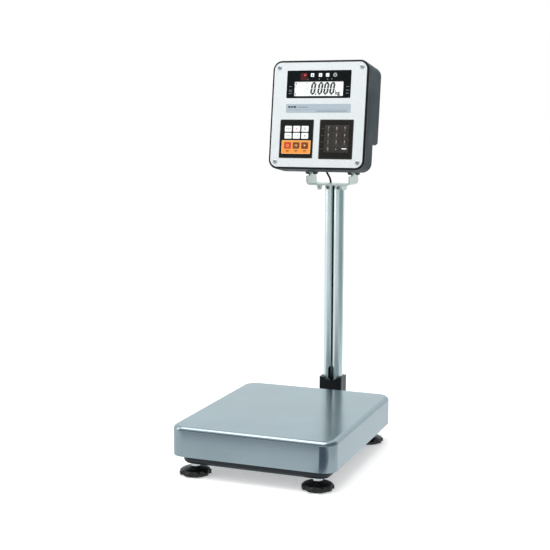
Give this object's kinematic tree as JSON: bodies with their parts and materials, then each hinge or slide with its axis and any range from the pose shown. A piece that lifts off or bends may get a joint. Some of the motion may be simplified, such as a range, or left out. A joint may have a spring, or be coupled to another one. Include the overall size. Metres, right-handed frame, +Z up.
{
  "type": "bench scale",
  "caption": "Bench weighing scale: flat lift-off pan on four levelling feet, with a column behind it carrying a tilting display with keypads.",
  "frame": {"origin": "on the floor, under the middle of the overall box", "axes": "+Z up, -Y towards the operator (pan in front, column behind), +X to the operator's right"},
  "size_m": [0.33, 0.536, 0.8037],
  "materials": {
    "stainless": "satin",
    "frame_paint": "satin",
    "carrier_zinc": "satin",
    "cell_aluminium": "satin",
    "bright_steel": "bright",
    "black_rubber": "matte",
    "cable_sheath": "matte",
    "vial": "clear",
    "black_plastic": "matte",
    "column_aluminium": "satin",
    "bracket_steel": "satin",
    "case_dark": "satin",
    "case_grey": "satin",
    "panel_silver": "satin",
    "window_black": "gloss",
    "lcd_glass": "matte",
    "circuit_board": "satin",
    "keypad_black": "satin",
    "keypad_brown": "satin",
    "key_white": "satin",
    "key_red": "satin",
    "key_brown": "satin",
    "key_dark": "satin"
  },
  "bodies": {
    "root": {"base_frame": "frame_paint", "load_cell": "cell_aluminium", "load_cell_spacers": "bright_steel", "base_bolts": "bright_steel", "upper_frame": "carrier_zinc", "pan_pads": "black_rubber", "overload_stops": "bright_steel", "level_vial": "vial", "foot_lock_nuts": "bright_steel", "column_arm": "frame_paint", "column_holder": "black_plastic", "column": "column_aluminium", "top_bracket": "bracket_steel", "bracket_screws": "bright_steel", "signal_cable": "cable_sheath", "cable_grommet": "black_rubber", "cable_tail": "cable_sheath", "foot_sole_front_left": "black_rubber", "foot_sole_front_right": "black_rubber", "foot_sole_rear_left": "black_rubber", "foot_sole_rear_right": "black_rubber"},
    "pan": {"weighing_pan": "stainless"},
    "display": {"front_bezel": "case_dark", "rear_housing": "case_grey", "front_panel": "panel_silver", "panel_screws": "bright_steel", "display_window": "window_black", "lcd_screen": "lcd_glass", "main_board": "circuit_board", "keypad_left": "keypad_black", "keypad_right": "keypad_brown", "cable_gland": "black_plastic", "power_jack": "black_plastic", "tilt_screws": "bright_steel"},
    "battery_door": {"battery_cover": "case_grey"},
    "knob_front_left": {"foot_knob_front_left": "black_plastic"},
    "knob_front_right": {"foot_knob_front_right": "black_plastic"},
    "knob_rear_left": {"foot_knob_rear_left": "black_plastic"},
    "knob_rear_right": {"foot_knob_rear_right": "black_plastic"},
    "key_brown_1_cap": {"key_brown_1": "key_brown"},
    "key_brown_2_cap": {"key_brown_2": "key_brown"},
    "key_clear_cap": {"key_clear": "key_dark"},
    "key_function_1_cap": {"key_function_1": "key_white"},
    "key_function_2_cap": {"key_function_2": "key_white"},
    "key_function_3_cap": {"key_function_3": "key_white"},
    "key_function_4_cap": {"key_function_4": "key_white"},
    "key_function_5_cap": {"key_function_5": "key_white"},
    "key_function_6_cap": {"key_function_6": "key_white"},
    "key_number_0_cap": {"key_number_0": "key_dark"},
    "key_number_1_cap": {"key_number_1": "key_dark"},
    "key_number_2_cap": {"key_number_2": "key_dark"},
    "key_number_3_cap": {"key_number_3": "key_dark"},
    "key_number_4_cap": {"key_number_4": "key_dark"},
    "key_number_5_cap": {"key_number_5": "key_dark"},
    "key_number_6_cap": {"key_number_6": "key_dark"},
    "key_number_7_cap": {"key_number_7": "key_dark"},
    "key_number_8_cap": {"key_number_8": "key_dark"},
    "key_number_9_cap": {"key_number_9": "key_dark"},
    "key_point_cap": {"key_point": "key_dark"},
    "key_red_cap": {"key_red": "key_red"}
  },
  "joints": [
    {"name": "pan_lift", "type": "slide", "parent": "root", "child": "pan", "axis": [0, 0, 1], "range_m": [0, 0.08]},
    {"name": "display_tilt", "type": "hinge", "parent": "root", "child": "display", "pos_m": [0, 0.218, 0.576], "axis": [-1, 0, 0], "range_deg": [-10, 45], "deforming": ["cable_tail"]},
    {"name": "battery_door_swing", "type": "hinge", "parent": "display", "child": "battery_door", "pos_m": [-0.012, 0.25516, 0.6653], "axis": [-1, 0, 0], "range_deg": [0, 110]},
    {"name": "foot_turn_front_left", "type": "hinge", "parent": "root", "child": "knob_front_left", "pos_m": [-0.1243, -0.235, 0.01], "axis": [0, 0, 1], "range_deg": [-2160, 1080]},
    {"name": "foot_turn_front_right", "type": "hinge", "parent": "root", "child": "knob_front_right", "pos_m": [0.1243, -0.235, 0.01], "axis": [0, 0, 1], "range_deg": [-2160, 1080]},
    {"name": "foot_turn_rear_left", "type": "hinge", "parent": "root", "child": "knob_rear_left", "pos_m": [-0.1243, 0.099, 0.01], "axis": [0, 0, 1], "range_deg": [-2160, 1080]},
    {"name": "foot_turn_rear_right", "type": "hinge", "parent": "root", "child": "knob_rear_right", "pos_m": [0.1243, 0.099, 0.01], "axis": [0, 0, 1], "range_deg": [-2160, 1080]},
    {"name": "key_brown_1_press", "type": "slide", "parent": "display", "child": "key_brown_1_cap", "axis": [0, 0.9903, -0.1392], "range_m": [0, 0.0006], "stiffness_N_per_m": 1500},
    {"name": "key_brown_2_press", "type": "slide", "parent": "display", "child": "key_brown_2_cap", "axis": [0, 0.9903, -0.1392], "range_m": [0, 0.0006], "stiffness_N_per_m": 1500},
    {"name": "key_clear_press", "type": "slide", "parent": "display", "child": "key_clear_cap", "axis": [0, 0.9903, -0.1392], "range_m": [0, 0.0006], "stiffness_N_per_m": 1500},
    {"name": "key_function_1_press", "type": "slide", "parent": "display", "child": "key_function_1_cap", "axis": [0, 0.9903, -0.1392], "range_m": [0, 0.0006], "stiffness_N_per_m": 1500},
    {"name": "key_function_2_press", "type": "slide", "parent": "display", "child": "key_function_2_cap", "axis": [0, 0.9903, -0.1392], "range_m": [0, 0.0006], "stiffness_N_per_m": 1500},
    {"name": "key_function_3_press", "type": "slide", "parent": "display", "child": "key_function_3_cap", "axis": [0, 0.9903, -0.1392], "range_m": [0, 0.0006], "stiffness_N_per_m": 1500},
    {"name": "key_function_4_press", "type": "slide", "parent": "display", "child": "key_function_4_cap", "axis": [0, 0.9903, -0.1392], "range_m": [0, 0.0006], "stiffness_N_per_m": 1500},
    {"name": "key_function_5_press", "type": "slide", "parent": "display", "child": "key_function_5_cap", "axis": [0, 0.9903, -0.1392], "range_m": [0, 0.0006], "stiffness_N_per_m": 1500},
    {"name": "key_function_6_press", "type": "slide", "parent": "display", "child": "key_function_6_cap", "axis": [0, 0.9903, -0.1392], "range_m": [0, 0.0006], "stiffness_N_per_m": 1500},
    {"name": "key_number_0_press", "type": "slide", "parent": "display", "child": "key_number_0_cap", "axis": [0, 0.9903, -0.1392], "range_m": [0, 0.0006], "stiffness_N_per_m": 1500},
    {"name": "key_number_1_press", "type": "slide", "parent": "display", "child": "key_number_1_cap", "axis": [0, 0.9903, -0.1392], "range_m": [0, 0.0006], "stiffness_N_per_m": 1500},
    {"name": "key_number_2_press", "type": "slide", "parent": "display", "child": "key_number_2_cap", "axis": [0, 0.9903, -0.1392], "range_m": [0, 0.0006], "stiffness_N_per_m": 1500},
    {"name": "key_number_3_press", "type": "slide", "parent": "display", "child": "key_number_3_cap", "axis": [0, 0.9903, -0.1392], "range_m": [0, 0.0006], "stiffness_N_per_m": 1500},
    {"name": "key_number_4_press", "type": "slide", "parent": "display", "child": "key_number_4_cap", "axis": [0, 0.9903, -0.1392], "range_m": [0, 0.0006], "stiffness_N_per_m": 1500},
    {"name": "key_number_5_press", "type": "slide", "parent": "display", "child": "key_number_5_cap", "axis": [0, 0.9903, -0.1392], "range_m": [0, 0.0006], "stiffness_N_per_m": 1500},
    {"name": "key_number_6_press", "type": "slide", "parent": "display", "child": "key_number_6_cap", "axis": [0, 0.9903, -0.1392], "range_m": [0, 0.0006], "stiffness_N_per_m": 1500},
    {"name": "key_number_7_press", "type": "slide", "parent": "display", "child": "key_number_7_cap", "axis": [0, 0.9903, -0.1392], "range_m": [0, 0.0006], "stiffness_N_per_m": 1500},
    {"name": "key_number_8_press", "type": "slide", "parent": "display", "child": "key_number_8_cap", "axis": [0, 0.9903, -0.1392], "range_m": [0, 0.0006], "stiffness_N_per_m": 1500},
    {"name": "key_number_9_press", "type": "slide", "parent": "display", "child": "key_number_9_cap", "axis": [0, 0.9903, -0.1392], "range_m": [0, 0.0006], "stiffness_N_per_m": 1500},
    {"name": "key_point_press", "type": "slide", "parent": "display", "child": "key_point_cap", "axis": [0, 0.9903, -0.1392], "range_m": [0, 0.0006], "stiffness_N_per_m": 1500},
    {"name": "key_red_press", "type": "slide", "parent": "display", "child": "key_red_cap", "axis": [0, 0.9903, -0.1392], "range_m": [0, 0.0006], "stiffness_N_per_m": 1500}
  ]
}
